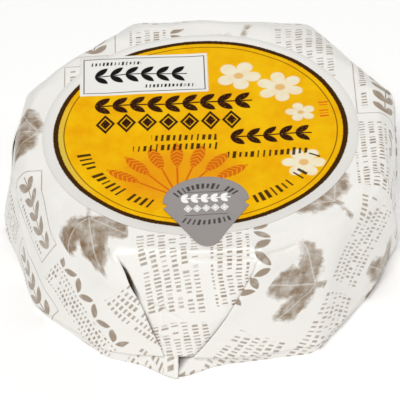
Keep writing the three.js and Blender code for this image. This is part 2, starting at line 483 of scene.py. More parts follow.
def wall_rows():
    rim_height = HEIGHT - SHOULDER_DROP
    rows = []
    for fraction in np.linspace(0, 1, WALL_ROWS):
        height = lerp(rim_height, HEM_HEIGHT, fraction)
        depth = rim_height - height
        pleat = (SHOULDER_LENGTH + depth) / PLEAT_LENGTH
        rows.append(Row(0, 1, height, fraction, pleat, free=1, lean=1, paper=1, depth=depth))
    return rows


def hem_rows():
    rows = []
    for share in np.linspace(0, 1, HEM_ROWS + 1)[1:]:
        height = np.interp(share, (0, HEM_LIP_SHARE, 1), (HEM_HEIGHT, HEM_HEIGHT - HEM_LIP_DROP, 0))
        depth = WALL_DEPTH + HEM_HEIGHT * share
        free = 1 - rise(0, HEM_SHUT_SHARE, share)
        hem = rise(0, HEM_OPEN_SHARE, share)
        rows.append(Row(0, 1, height, 1, 1, free, hem, share, 1, 1, depth))
    return rows


def base_rows():
    rows = []
    for share in np.linspace(0, 1, BASE_ROWS + 2)[1:-1]:
        inset = share ** BASE_ROW_POWER
        shut = 1 - rise(0, BASE_SHUT_SHARE, share)
        height = BASE_DISH * rise(0, BASE_DISH_SHARE, share)
        depth = WALL_DEPTH + HEM_HEIGHT + inset * CORE_RADIUS
        rows.append(Row(0, 1 - inset, height, 1, 1, 0, shut, 1, 1, 1, depth))
    return rows


# A run of columns in one row: azimuths, offsets out of the wall, how far each is inside a fold, which sets
# its
# # painted shade, and the sheet's panel that they belong to, as the azimuth of its middle and its half
# width at the rim
Strip = namedtuple("Strip", "azimuth offset inside centre half_width")


def edge_share(edge, row):
    """Share of a free edge passed, from where it opens to the hem."""
    return max(0, row.pleat - edge.opens) / (1 - edge.opens)


def edge_azimuth(edge, row):
    return lerp(edge.top, edge.foot, edge_share(edge, row) ** edge.bend)


def edge_opening(edge, row):
    return row.free * rise(0, OPENING_END, edge_share(edge, row))


def edge_gape(edge, row):
    passed = edge_share(edge, row)
    return sum(extra * math.exp(-((passed - at) / spread) ** 2) for at, spread, extra in edge.gapes)


def edge_puff(edge, row):
    return edge.puff * math.exp(-edge_share(edge, row) / PUFF_FADE)


def edge_lift(edge, row):
    return edge_opening(edge, row) * (edge.lift + edge_puff(edge, row) + edge_gape(edge, row))


def edge_recess(edge, row):
    """How far the panel below a free edge is pressed in along it."""
    return edge_opening(edge, row) * (PANEL_RECESS + GAPE_RECESS * edge_gape(edge, row))


def fold(azimuth, lift, thickness, opening, depth, ground, side):
    """The turned-in hem of a free edge: its round nose, its inner face and its end on the panel below.

    side is 1 where the edge points to greater azimuths, and -1 where it points to smaller ones.
    """
    radius = thickness * opening / 2
    points = []
    for turn in NOSE_TURNS:
        angle = math.radians(turn)
        nose = azimuth + side * radius * math.sin(angle) / DEGREE_LENGTH
        points.append((nose, lift - radius * (1 - math.cos(angle)), 0))
    points.append((azimuth, lift - 2 * radius, opening))
    points.append((azimuth - side * depth * opening, ground + FOLD_CLEARANCE * opening, opening))
    return points[::side]


def flap_fold(edge, azimuth, row, side):
    lift = edge_lift(edge, row)
    thickness = PAPER_THICKNESS + edge_puff(edge, row)
    ground = -edge_recess(edge, row)
    return fold(azimuth, lift, thickness, edge_opening(edge, row), TUCK_DEPTH, ground, side)


def tuck_raised(strip, panel, row):
    """A strip raised towards the tuck in a panel's foot, on the tuck's left."""
    lift = HEM_TUCK_LIFT * row.hem * np.exp((strip.azimuth - panel.middle) / HEM_TUCK_FADE)
    return strip._replace(offset=strip.offset + lift)


def fold_strip(points, centre, half_width):
    return Strip(*np.array(points).T, centre, half_width)


def edge_columns(start, end, dense_from):
    """Azimuths from start to end, close together as far as dense_from."""
    dense = np.linspace(start, dense_from, EDGE_COLUMNS)
    sparse = np.linspace(dense_from, end, PANEL_COLUMNS)
    return np.concatenate([dense, sparse[1:]])


def tuck_depths(panel, row):
    """How far a side panel runs on below the flaps at its start and end, in degrees."""
    return TUCK_DEPTH * edge_opening(panel.start, row), TUCK_DEPTH * edge_opening(panel.end, row)


def panel_level(panel, row, azimuth):
    """A side panel's offset: pressed in along both flaps, hollow and then swollen where the first gapes."""
    first, last = edge_azimuth(panel.start, row), edge_azimuth(panel.end, row)
    first_depth, last_depth = tuck_depths(panel, row)
    near_first = edge_recess(panel.start, row) * np.exp((first - first_depth - azimuth) / RECESS_FADE)
    near_last = edge_recess(panel.end, row) * np.exp((azimuth - last - last_depth) / RECESS_FADE)
    away = azimuth - first
    gape = edge_opening(panel.start, row) * edge_gape(panel.start, row)
    fading = np.exp(-np.maximum(away - SWELL_START, 0) / SWELL_FADE)
    swell = GAPE_SWELL * rise(-SWELL_LEAD, SWELL_START, away) * fading
    pocket = GAPE_POCKET * np.exp(-((away - POCKET_AWAY) / POCKET_SPREAD) ** 2)
    return gape * (swell - pocket) - np.maximum(near_first, near_last)


def panel_strips(panel, row):
    """A side panel's two halves, with the tuck in its foot between them."""
    first, last = edge_azimuth(panel.start, row), edge_azimuth(panel.end, row)
    first_depth, last_depth = tuck_depths(panel, row)
    share = (panel.middle - panel.start.foot) / (panel.end.foot - panel.start.foot)
    middle = lerp(lerp(panel.start.top, panel.end.top, share), panel.middle, row.pleat)
    sheet = ((panel.start.top + panel.end.top) / 2, (panel.end.top - panel.start.top) / 2)

    left_dense = min(first + EDGE_REACH, lerp(first, middle, EDGE_REACH_SHARE))
    left = edge_columns(first - first_depth, middle, left_dense)
    # Painted shade on the panel where it runs on below the flap before it
    left_painted_shade = edge_opening(panel.start, row) * rise(PAINTED_SHADE_EDGE, -PAINTED_SHADE_FULL, left - first)
    left_strip = Strip(left, panel_level(panel, row, left), left_painted_shade, *sheet)
    level = panel_level(panel, row, middle)
    lift = level + HEM_TUCK_LIFT * row.hem
    tuck = fold(middle, lift, PAPER_THICKNESS, row.hem, HEM_TUCK_DEPTH, level, 1)

    right_start = middle - HEM_TUCK_DEPTH * row.hem
    right_dense = max(last - EDGE_REACH, lerp(last, middle, EDGE_REACH_SHARE))
    right = edge_columns(last + last_depth, right_start, right_dense)[::-1]
    pocket = np.clip(1 - row.bevel - (right - middle) / HEM_POCKET_WIDTH, 0, 1)
    pocket = pocket * rise(0, HEM_LIP_SHARE, row.bevel)
    # Painted shade on the panel below the next flap, and in the pocket under the hem's lip
    right_painted_shade = edge_opening(panel.end, row) * rise(-PAINTED_SHADE_EDGE, PAINTED_SHADE_FULL, right - last)
    right_painted_shade += HEM_POCKET_PAINTED_SHADE * rise(0, HEM_POCKET_EDGE, pocket)
    right_level = panel_level(panel, row, right) - HEM_POCKET * pocket
    return [
        tuck_raised(left_strip, panel, row),
        fold_strip(tuck, *sheet),
        Strip(right, right_level, right_painted_shade, *sheet),
    ]


def flap_strips(panel, following, turn, row):
    """The wide flap between two side panels, with a turned-in hem along each free edge."""
    first = edge_azimuth(panel.end, row)
    last = edge_azimuth(following.start, row) + turn
    first_top, last_top = panel.end.top, following.start.top + turn
    sheet = ((first_top + last_top) / 2, (last_top - first_top) / 2)
    azimuth = np.linspace(first, last, FLAP_COLUMNS)
    lift = edge_lift(panel.end, row) * np.exp((first - azimuth) / FLAP_FADE)
    lift += edge_lift(following.start, row) * np.exp((azimuth - last) / FLAP_FADE)
    strips = [
        fold_strip(flap_fold(panel.end, first, row, -1), *sheet),
        Strip(azimuth, lift, np.zeros_like(azimuth), *sheet),
        fold_strip(flap_fold(following.start, last, row, 1), *sheet),
    ]
    foot = following._replace(middle=following.middle + turn)
    return [tuck_raised(strip, foot, row) for strip in strips]


def row_strips(row):
    strips = []
    for index, panel in enumerate(PANELS):
        following = PANELS[(index + 1) % len(PANELS)]
        turn = 360 if index + 1 == len(PANELS) else 0
        strips += panel_strips(panel, row)
        strips += flap_strips(panel, following, turn, row)
    return strips


def relief_waves():
    """Directions, lengths and phases of the seeded waves that facet the paper."""
    rng = np.random.default_rng(RELIEF_SEED)
    directions = rng.normal(size=(RELIEF_WAVES, 3))
    directions /= np.linalg.norm(directions, axis=1)[:, None]
    lengths = rng.uniform(*RELIEF_LENGTHS, RELIEF_WAVES)
    phases = rng.uniform(0, 1, (RELIEF_WAVES, 3))
    return directions, lengths, phases


WAVES = relief_waves()


def paper_relief(flat, height):
    """Rise of the paper's low facets: folded waves that bend and fade, and lie flatter below the label."""
    points = np.concatenate([flat, height[:, None]], axis=1)
    total = np.zeros(len(points))
    for direction, length, phase in zip(*WAVES):
        along = points @ direction / length
        across = points @ np.roll(direction, 1) / length
        bend = RELIEF_BEND * np.sin(RELIEF_BEND_RATE * across + RELIEF_PHASE * phase[0])
        folded = np.abs(2 * np.mod(along + bend + phase[1], 1) - 1) - 0.5
        strength = 0.5 + 0.5 * np.sin(RELIEF_FADE_RATE * across + RELIEF_PHASE * phase[2])
        total += RELIEF_STEEPNESS * length * strength * folded
    outer = rise(LABEL_RADIUS, TOP_FLAT_RADIUS, np.hypot(*flat.T))
    return total * lerp(TOP_RELIEF_SHARE, 1, outer)


def crease_relief(azimuth, height):
    """Height of the creases and puffs near the pleats."""
    def place(turn, level):
        return np.stack([degrees_apart(azimuth, turn) * DEGREE_LENGTH, height - level], axis=-1)

    total = np.zeros(azimuth.shape)
    for start_turn, start_level, end_turn, end_level, depth, width in CREASES:
        run = np.array([degrees_apart(end_turn, start_turn) * DEGREE_LENGTH, end_level - start_level])
        from_start = place(start_turn, start_level)
        share = np.clip(from_start @ run / (run @ run), 0, 1)
        away = np.linalg.norm(from_start - share[..., None] * run, axis=-1)
        total -= depth * np.sin(math.pi * share) ** CREASE_TAPER * np.maximum(0, 1 - away / width)
    for turn, level, reach, lift in PUFFS:
        away = np.linalg.norm(place(turn, level), axis=-1)
        total += lift * np.exp(-(away / reach) ** 2)
    return total


def top_height(flat):
    """Height of the flat top, which the label follows."""
    return HEIGHT + paper_relief(flat, np.full(len(flat), HEIGHT))


def shoulder_length(azimuth):
    """Length of paper over the shoulder, a quarter of an ellipse."""
    return math.pi / 2 * np.hypot(wall_radius(azimuth, 0) - TOP_FLAT_RADIUS, SHOULDER_DROP) / math.sqrt(2)


def sheet_place(azimuth, row, strip):
    """Where a row's points lie on the flat printed sheet, in millimetres from its middle."""
    if row.reach == 0:
        return on_circle(azimuth, row.inner)
    reach = TOP_FLAT_RADIUS + row.paper * shoulder_length(azimuth)
    if row.depth == 0:
        return on_circle(azimuth, reach)
    swing = np.radians(degrees_apart(azimuth, strip.centre))
    limit = math.radians(strip.half_width)
    kept = np.clip(swing, -limit, limit)
    along = reach * (np.sin(kept) + swing - kept)
    outward = reach * np.cos(kept) + row.depth
    angle = math.radians(strip.centre)
    x = outward * math.cos(angle) - along * math.sin(angle)
    y = outward * math.sin(angle) + along * math.cos(angle)
    return np.stack([x, y], axis=-1)


def hem_offset(azimuth, row):
    """How far the paper stands out at the hem: a lip, an undercut below it and a flange that flares."""
    lip = HEM_LIP * math.exp(-(1 - row.fraction) / HEM_LIP_FADE)
    under = np.full_like(azimuth, HEM_UNDERCUT)
    for panel in PANELS:
        away = degrees_apart(azimuth, panel.middle)
        under += HEM_PANEL_UNDERCUT * np.exp(-(away / HEM_PANEL_SPREAD) ** 2)
    away = degrees_apart(azimuth, FLARE_AZIMUTH)
    foot = FLARE * np.exp(-(away / FLARE_SPREAD) ** 2) - BASE_INSET
    turned_in = rise(0, HEM_LIP_SHARE, row.bevel)
    flange = max(0, (row.bevel - HEM_LIP_SHARE) / (1 - HEM_LIP_SHARE))
    return lerp(lerp(lip, -under, turned_in), foot, flange)


def row_points(row):
    """Points of one row in space, their places on the flat sheet, and how far each is inside a fold, which
    sets its painted shade.
    """
    strips = row_strips(row)
    azimuth = np.concatenate([strip.azimuth for strip in strips])
    offset = np.concatenate([strip.offset for strip in strips])
    outer = wall_radius(azimuth, row.fraction) + hem_offset(azimuth, row)
    radius = lerp(row.inner, outer, row.reach)
    height = np.full_like(azimuth, row.height)
    if row.bevel < 1:
        facets = paper_relief(on_circle(azimuth, radius), height) * (1 - row.bevel)
        offset += facets + crease_relief(azimuth, height) * rise(0, CREASE_START_LEAN, row.lean)
    angle = row.lean * math.pi / 2
    flat = on_circle(azimuth, radius + offset * math.sin(angle))
    height += offset * math.cos(angle)
    arch = HEM_ARCH * row.fraction ** HEM_ARCH_POWER * (1 - row.bevel)
    height += arch * np.exp(-(degrees_apart(azimuth, FLARE_AZIMUTH) / HEM_ARCH_SPREAD) ** 2)
    points = np.concatenate([flat, height[:, None]], axis=1)
    places = np.concatenate([sheet_place(strip.azimuth, row, strip) for strip in strips])
    inside = np.concatenate([strip.inside for strip in strips])
    return points, places, inside


def ring_mesh(name, rows, places, inside):
    """A closed mesh from rows of points, with a middle point above the first and below the last."""
    count = rows.shape[1]
    top = rows[0].mean(axis=0)
    bottom = rows[-1].mean(axis=0)
    points = np.concatenate([rows.reshape(-1, 3), [top, bottom]])
    sheet = np.concatenate([places.reshape(-1, 2), places[[0, -1]].mean(axis=1)])
    first = np.arange(len(rows) * count).reshape(-1, count)
    after = np.roll(first, -1, axis=1)
    quads = np.stack([first[:-1], first[1:], after[1:], after[:-1]], axis=-1).reshape(-1, 4)
    top_fan = np.stack([np.full(count, len(points) - 2), first[0], after[0]], axis=1)
    bottom_fan = np.stack([first[-1], np.full(count, len(points) - 1), after[-1]], axis=1)
    faces = [*quads.tolist(), *top_fan.tolist(), *bottom_fan.tolist()]
    mesh = bpy.data.meshes.new(name)
    mesh.from_pydata((points * MM).tolist(), [], faces)
    corners = np.zeros(len(mesh.loops), dtype=np.int32)
    mesh.loops.foreach_get("vertex_index", corners)
    layer = mesh.uv_layers.new(name=SHEET_MAP)
    layer.uv.foreach_set("vector", (sheet[corners] / SHEET_UNIT).astype(np.float32).ravel())
    # The share of painted shade in the folds and hem pockets, for each point
    shade = mesh.attributes.new(PAINTED_SHADE_ATTRIBUTE, "FLOAT", "POINT")
    shade.data.foreach_set("value", np.concatenate([inside.ravel(), [0, 0]]).astype(np.float32))
    return mesh


def weld(mesh):
    """Joins the columns that meet where a pleat is shut."""
    work = bmesh.new()
    work.from_mesh(mesh)
    bmesh.ops.remove_doubles(work, verts=work.verts, dist=WELD_DISTANCE)
    bmesh.ops.dissolve_degenerate(work, edges=work.edges, dist=WELD_DISTANCE)
    work.to_mesh(mesh)
    work.free()


def add_object(name, data):
    made = bpy.data.objects.new(name, data)
    bpy.context.scene.collection.objects.link(made)
    return made


def add_piece(name, mesh, node, material):
    """Puts a mesh into the scene in place of a solid."""
    mesh.polygons.foreach_set("use_smooth", [True] * len(mesh.polygons))
    mesh.materials.append(material)
    piece = add_object(name, mesh)
    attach(piece, "root")
    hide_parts(node)


def make_wrapper(material):
    rows = [*top_rows(), *shoulder_rows(), *wall_rows(), *hem_rows(), *base_rows()]
    points, places, inside = (np.stack(made) for made in zip(*map(row_points, rows)))
    mesh = ring_mesh("pleated_wrapper", points, places, inside)
    weld(mesh)
    add_piece("pleated_wrapper", mesh, "wrapper", material)


# The label and the badge

def box_outline():
    return np.array([
        (BOX_LEFT, BOX_BOTTOM), (BOX_RIGHT, BOX_BOTTOM), (BOX_RIGHT, BOX_TOP), (BOX_LEFT, BOX_TOP),
    ])


def badge_outline():
    """A half ellipse above two small round notches, and a blunt point below them."""
    angles = np.linspace(0, math.pi, CURVE_STEPS)
    arch_x = BADGE_X + BADGE_HALF_WIDTH * np.cos(angles)
    arch_y = BADGE_WAIST_Y + BADGE_ARCH * np.sin(angles)
    bite = np.linspace(0, 1, BADGE_NOTCH_STEPS)[1:]
    notch_x = BADGE_HALF_WIDTH - BADGE_NOTCH_DEPTH * np.sin(math.pi * bite)
    notch_y = lerp(BADGE_WAIST_Y, BADGE_LOWER_Y, bite)
    tip = np.linspace(-1, 1, CURVE_STEPS)
    tip_x = BADGE_X + BADGE_TIP_HALF_WIDTH * tip
    tip_y = BADGE_TIP_Y + BADGE_TIP_RISE * tip ** 2
    return np.array([
        *zip(arch_x, arch_y),
        *zip(BADGE_X - notch_x, notch_y),
        *zip(tip_x, tip_y),
        *zip(BADGE_X + notch_x[::-1], notch_y[::-1]),
    ])


def plate_azimuths(corners):
    """Even azimuths, with one at each corner of the outline."""
    even = np.linspace(-180, 180, PLATE_COLUMNS, endpoint=False)
    exact = np.degrees(np.arctan2(corners[:, 1], corners[:, 0]))
    return np.unique(np.round(np.concatenate([even, exact]), 6))


def plate_mesh(name, centre, azimuth, reach, under, thickness):
    """A thin sheet over the top, out to reach along each azimuth from its centre."""
    shares = np.linspace(PLATE_INNER_SHARE, 1, PLATE_ROWS)
    levels = [(share, 0, thickness) for share in shares[:-1]]
    levels += [(1, PLATE_EDGE, thickness), (1, 0, thickness - PLATE_EDGE), (1, 0, 0)]
    levels += [(share, 0, 0) for share in shares[-2::-PLATE_UNDER_STEP]]
    rows = []
    for share, inset, lift in levels:
        flat = on_circle(azimuth, reach * share - inset) + centre
        height = top_height(flat) + under + lift
        rows.append(np.concatenate([flat, height[:, None]], axis=1))
    rows = np.stack(rows)
    return ring_mesh(name, rows, rows[..., :2], np.zeros(rows.shape[:2]))


def make_label(material):
    corners = np.concatenate([box_outline(), badge_outline()])
    azimuth = plate_azimuths(corners)
    reach = np.maximum(polygon_reach(box_outline(), azimuth), polygon_reach(badge_outline(), azimuth))
    reach = np.maximum(reach, LABEL_RADIUS)
    mesh = plate_mesh("round_label", (0, 0), azimuth, reach, LABEL_GAP, LABEL_THICKNESS)
    add_piece("round_label", mesh, "label", material)


def make_badge(material):
    corners = badge_outline() - BADGE_CENTRE
    azimuth = plate_azimuths(corners)
    reach = polygon_reach(corners, azimuth)
    under = LABEL_THICKNESS + BADGE_GAP
    mesh = plate_mesh("label_badge", BADGE_CENTRE, azimuth, reach, under, BADGE_THICKNESS)
    add_piece("label_badge", mesh, "badge", material)


# Materials

def linear(red, green, blue):
    """A colour given as 0 to 255, as the renderer takes it."""
    def channel(value):
        share = value / 255
        return share / 12.92 if share <= 0.04045 else ((share + 0.055) / 1.055) ** 2.4
    return (channel(red), channel(green), channel(blue), 1.0)


WRAPPER_WHITE = linear(243, 241, 236)
WRAPPER_SHADE = linear(238, 235, 229)
WRAPPER_INK = linear(128, 101, 66)
# Dark brown painted shade for the paper in the folds and the hem pockets
PAINTED_SHADE_BROWN = linear(62, 36, 6)
LABEL_YELLOW = linear(247, 193, 10)
LABEL_AMBER = linear(238, 168, 0)
LABEL_FADED = linear(222, 192, 74)
# The label's pale border with painted sheen: darker at the front and lighter at the back
BORDER_SHEEN_LOW = linear(224, 221, 216)
BORDER_SHEEN_HIGH = linear(241, 239, 234)
LINE_INK = linear(62, 34, 4)
RING_INK = linear(64, 37, 4)
SHEAF_WASH = linear(232, 140, 20)
SHEAF_INK = linear(214, 98, 14)
BLOSSOM_CREAM = linear(242, 234, 206)
BLOSSOM_AMBER = linear(230, 165, 40)
GARLAND_INK = linear(52, 22, 8)
UPRIGHT_INK = linear(222, 96, 22)
CAPTION_INK = linear(46, 26, 6)
BOX_WHITE = linear(240, 238, 233)
BOX_INK = linear(22, 20, 20)
BADGE_GREY = linear(158, 153, 150)
BADGE_SHADE = linear(148, 142, 140)
BADGE_INK = linear(44, 42, 42)
BADGE_PALE = linear(250, 249, 247)
FLOOR_WHITE = linear(253, 253, 253)
GLOW_WHITE = linear(255, 255, 255)
# Sockets of a node that mixes two colours
MIX_SHARE, MIX_BELOW, MIX_ABOVE, MIX_RESULT = 0, 6, 7, 2


def math_method(operation):
    """A method that works on a field, and on others, by a math node."""
    def method(field, *others):
        return field.press.math(operation, field, *others)
    return method


class Field:
    """A number that varies over a surface: a shader socket that takes part in arithmetic."""

    def __init__(self, press, socket):
        self.press = press
        self.socket = socket

    __add__ = math_method("ADD")
    __sub__ = math_method("SUBTRACT")
    __mul__ = math_method("MULTIPLY")
    __truediv__ = math_method("DIVIDE")
    __abs__ = math_method("ABSOLUTE")
    floor = math_method("FLOOR")
    pingpong = math_method("PINGPONG")
    power = math_method("POWER")
    sine = math_method("SINE")
    cosine = math_method("COSINE")
    angle_from = math_method("ARCTAN2")
    least = math_method("MINIMUM")
    greatest = math_method("MAXIMUM")
    over = math_method("GREATER_THAN")

    def __rsub__(self, other):
        return self.press.math("SUBTRACT", other, self)

    def clamped(self, low, high):
        return self.greatest(low).least(high)

    def between(self, low, high):
        """1 from low to high, and 0 elsewhere."""
        return self.over(low) - self.over(high)

    def hypot(self, other):
        place = self.press.place(self, other, 0.0)
        return self.press.made("ShaderNodeVectorMath", {0: place}, "Value", operation="LENGTH")

    def inked(self, softness=PRINT_EDGE):
        """1 inside the shape that this is a distance to, and 0 outside it, with a soft edge."""
        return self.press.math("MULTIPLY_ADD", self, -1 / softness, 0.5, clamp=True)


class Press:
    """Draws with shader nodes: makes fields over a surface, and lays colours by them."""

    def __init__(self, name):
        self.material = bpy.data.materials.new(name)
        self.material.use_nodes = True
        self.tree = self.material.node_tree
        self.colour = None

    def feed(self, node, inputs):
        """Links fields to a node's sockets, or sets the sockets to plain values."""
        for name, value in inputs.items():
            if isinstance(value, Field):
                self.tree.links.new(value.socket, node.inputs[name])
            else:
                node.inputs[name].default_value = value

    def made(self, kind, inputs, output=0, **settings):
        """What a new node gives for its inputs."""
        node = self.tree.nodes.new(kind)
        for name, value in settings.items():
            setattr(node, name, value)
        self.feed(node, inputs)
        return Field(self, node.outputs[output])

    def math(self, operation, *values, clamp=False):
        inputs = dict(enumerate(values))
        return self.made("ShaderNodeMath", inputs, operation=operation, use_clamp=clamp)

    def place(self, x, y, z):
        return self.made("ShaderNodeCombineXYZ", {"X": x, "Y": y, "Z": z})

    def sheet_coordinates(self):
        """Place on the flat printed sheet, in millimetres."""
        sheet = self.made("ShaderNodeUVMap", {}, uv_map=SHEET_MAP)
        return [self.made("ShaderNodeSeparateXYZ", {0: sheet}, axis) * SHEET_UNIT for axis in "XY"]

    def painted_fold_shade(self):
        """Share of painted shade: 1 on the paper's underside in a fold, less in the hem pockets, and 0
        outside.
        """
        return self.made("ShaderNodeAttribute", {}, "Fac", attribute_name=PAINTED_SHADE_ATTRIBUTE)

    def random(self, x, y, seed):
        """A number from 0 to 1, the same all over each whole x and y."""
        place = self.place(x + 0.5, y + 0.5, seed)
        return self.made("ShaderNodeTexWhiteNoise", {"Vector": place}, "Value", noise_dimensions="3D")

    def noise(self, x, y, seed, detail=2.0):
        """Smooth noise about 0, with features about one unit wide."""
        inputs = {"Vector": self.place(x, y, seed), "Scale": 1.0, "Detail": detail}
        return self.made("ShaderNodeTexNoise", inputs, noise_dimensions="3D") - 0.5

    def mixed(self, below, above, share):
        inputs = {MIX_SHARE: share, MIX_BELOW: below, MIX_ABOVE: above}
        return self.made("ShaderNodeMix", inputs, MIX_RESULT, data_type="RGBA")

    def lay(self, colour, mask):
        """Lays a colour over the print so far, where the mask is 1."""
        self.colour = self.mixed(self.colour, colour, mask)

    def finished(self, look):
        """The material, with its shader's sockets fed by name."""
        self.feed(self.tree.nodes["Principled BSDF"], look)
        return self.material

    def printed(self, paper, x, y):
        """The material of a paper with its print, sheen and fibres."""
        fibres = self.noise(x * paper.fibre_rate, y * paper.fibre_rate, seed=4.0, detail=3.0)
        bump = {"Strength": 1.0, "Distance": paper.fibre_depth * MM, "Height": fibres}
        return self.finished({
            "Base Color": self.colour,
            "Roughness": paper.roughness,
            "Specular IOR Level": paper.specular,
            "Normal": self.made("ShaderNodeBump", bump, "Normal"),
        })


# Shapes, as distances from their outlines that are negative inside

def joined(*distances):
    return reduce(Field.least, distances)


def common(*distances):
    return reduce(Field.greatest, distances)


def each(shape, x, y, motifs):
    return joined(*[shape(x, y, *motif) for motif in motifs])


def turned(x, y, degrees):
    """Coordinates in axes that are turned anticlockwise by some degrees."""
    cos, sin = math.cos(math.radians(degrees)), math.sin(math.radians(degrees))
    return x * cos + y * sin, y * cos - x * sin


def box_shape(x, y, half_width, half_height):
    return common(abs(x) - half_width, abs(y) - half_height)


def leaf_shape(x, y, length, width):
    """A pointed leaf along x, about its own middle."""
    half_length, half_width = length / 2, width / 2
    radius = (half_length ** 2 + half_width ** 2) / (2 * half_width)
    return x.hypot(abs(y) + (radius - half_width)) - radius


def garland_shape(x, y, left, level, length, pitch, leaf, lean, stem):
    """A stem along x, with leaves in pairs that lean forward."""
    passed, above = x - left, y - level
    index = (passed / pitch).floor().clamped(0, round(length / pitch) - 1)
    along, across = turned(passed - index * pitch, abs(above), lean)
    leaves = leaf_shape(along - leaf[0] / 2, across, *leaf)
    return joined(leaves, box_shape(passed - length / 2, above, length / 2, stem))


def lozenge_row(x, y, left, level, length, pitch, half_height):
    """Lozenges side by side along x, each with a thin bare line in it."""
    passed = x - left
    index = (passed / pitch).floor().clamped(0, round(length / pitch) - 1)
    slope = half_height / (LOZENGE_WIDTH * pitch)
    slant = math.hypot(1, slope)
    reach = (abs(passed - (index + 0.5) * pitch) * slope + abs(y - level)) / slant
    full = half_height / slant
    return common(reach - full, LOZENGE_LINE * full - abs(reach - LOZENGE_LINE_PLACE * full))


def blossom_shape(x, y, radius, petals, turn):
    """A round flower with a notch between its petals."""
    angle = y.angle_from(x) + math.radians(turn)
    wave = abs((angle * (petals / 2)).cosine())
    return x.hypot(y) - (wave.power(BLOSSOM_ROUNDING) * (1 - BLOSSOM_NOTCH) + BLOSSOM_NOTCH) * radius


def leaf_row(x, y, pitch, leaf, lean):
    """Leaves side by side along x, each leaning the other way from the one before it."""
    index = (x / pitch).floor()
    swing = index.pingpong(1.0) * 2.0 - 1.0
    along, across = turned(x - (index + 0.5) * pitch, y * swing, lean)
    return leaf_shape(along, across, *leaf)


def vine_leaf(along, across):
    """A leaf of three lobes on a short stalk along x, and its ribs, as two distances."""
    spread, rib = turned(along - VINE_SIDE_FOOT, abs(across), VINE_SIDE_LEAN)
    middle = leaf_shape(along - VINE_LOBE[0] / 2, across, *VINE_LOBE)
    side = leaf_shape(spread - VINE_SIDE_LOBE[0] / 2, rib, *VINE_SIDE_LOBE)
    stalk = box_shape(along - VINE_STALK_X, across, *VINE_STALK)
    ribs = joined(abs(across) - VINE_RIB, abs(rib) - VINE_SIDE_RIB)
    return joined(middle, side, stalk), common(ribs, VINE_RIB_START - along)


def tick_shape(along, up, row, height, step, seed):
    """A row of short strokes of uneven weight and height, with a gap here and there."""
    cell = (along / step).floor()
    weight = along.press.random(cell, row, seed)
    kind = along.press.random(cell, row, seed + 1.0)
    half_width = (weight * TICK_EXTRA_WIDTH + TICK_WIDTH) * step
    half_height = (kind * TICK_EXTRA_HEIGHT + TICK_HEIGHT) * height
    stroke = abs(along - (cell + 0.5) * step - up * TICK_SLANT) - half_width
    return common(stroke, abs(up) - half_height, (TICK_GAPS - kind) * height)


def ruled_ticks(x, y, seed, pitch, height, step):
    """Rows of ticks along x, one above another."""
    row = (y / pitch).floor()
    shifted = x + x.press.random(row, 0.0, seed + 2.0) * TICK_SHIFT
    return tick_shape(shifted, y - (row + 0.5) * pitch, row, height, step, seed)


def caption_shape(x, y, middle, level, half_length, height, step, seed, row=0.0):
    ticks = tick_shape(x, y - level, row, height, step, seed)
    return common(ticks, abs(x - middle) - half_length)


def arc_ticks(x, y, centre_y, radius, start, end, height, step, seed):
    """Ticks that stand on an arc, from one azimuth to another."""
    above = y - centre_y
    across, out = turned(x, above, (start + end) / 2 - 90)
    along = across.angle_from(out) * radius
    ticks = tick_shape(along, x.hypot(above) - radius, 0.0, height, step, seed)
    return common(ticks, abs(along) - math.radians(end - start) / 2 * radius)


def sheaf_shape(x, y):
    """Stalks of grain that fan out from the origin, each with a pointed ear."""
    angle = x.angle_from(y)
    step = math.radians(SHEAF_SPREAD)
    most = (SHEAF_STALKS - 1) / 2
    bent = angle - (angle / step + 0.5).floor().clamped(-most, most) * step
    reach = x.hypot(y)
    along, across = reach * bent.cosine(), reach * bent.sine()
    half_stalk = SHEAF_STALK / 2
    stem = common(abs(across) - SHEAF_STEM, abs(along - half_stalk) - half_stalk)
    ear = leaf_shape(along - SHEAF_STALK - SHEAF_EAR[0] / 2, across, *SHEAF_EAR)
    grains = (along + abs(across) * GRAIN_SLANT).pingpong(GRAIN_PITCH)
    return joined(stem, common(ear, GRAIN_NOTCH - abs(grains)))


# The wrapper's print

def headed_block(along, across, seed):
    """A row of leaves above rows of ticks."""
    head = leaf_row(along, across - HEAD_LEVEL, HEAD_PITCH, HEAD_LEAF, HEAD_LEAN)
    return joined(head, common(ruled_ticks(along, across, seed, *HEADED_TICKS), across - HEADED_TOP))


def framed_block(along, across, band, seed):
    """A garland and a short row of ticks in a thin frame."""
    frame = abs(box_shape(along, across, *FRAME_HALF)) - FRAME_LINE
    caption = caption_shape(along, across, *FRAME_CAPTION._replace(seed=seed), band)
    return joined(frame, garland_shape(along, across, *FRAME_GARLAND), caption)


def brushed_leaf(press, along, across, vary, seed):
    """Strength of ink in a vine leaf at some turn, brushed with ragged edges, hairs and paler ribs."""
    angle = vary * TURN_RANGE
    cos, sin = angle.cosine(), angle.sine()
    x = along * cos + across * sin
    y = across * cos - along * sin
    leaf, ribs = vine_leaf(x + VINE_MIDDLE, y)
    ragged = press.noise(x * 0.5, y * 0.5, seed, detail=5.0) * 3.0
    hairs = press.noise(x * 0.6, y * 2.4, seed + 9.0)
    cloud = press.noise(x * 0.35, y * 0.35, seed + 17.0, detail=4.0)
    strength = (hairs * 0.35 + cloud * 1.3 + 0.8).clamped(0.3, 1.0)
    return (leaf + ragged + hairs * 1.2).inked(softness=1.1) * strength * (1.0 - ribs.inked() * 0.45)


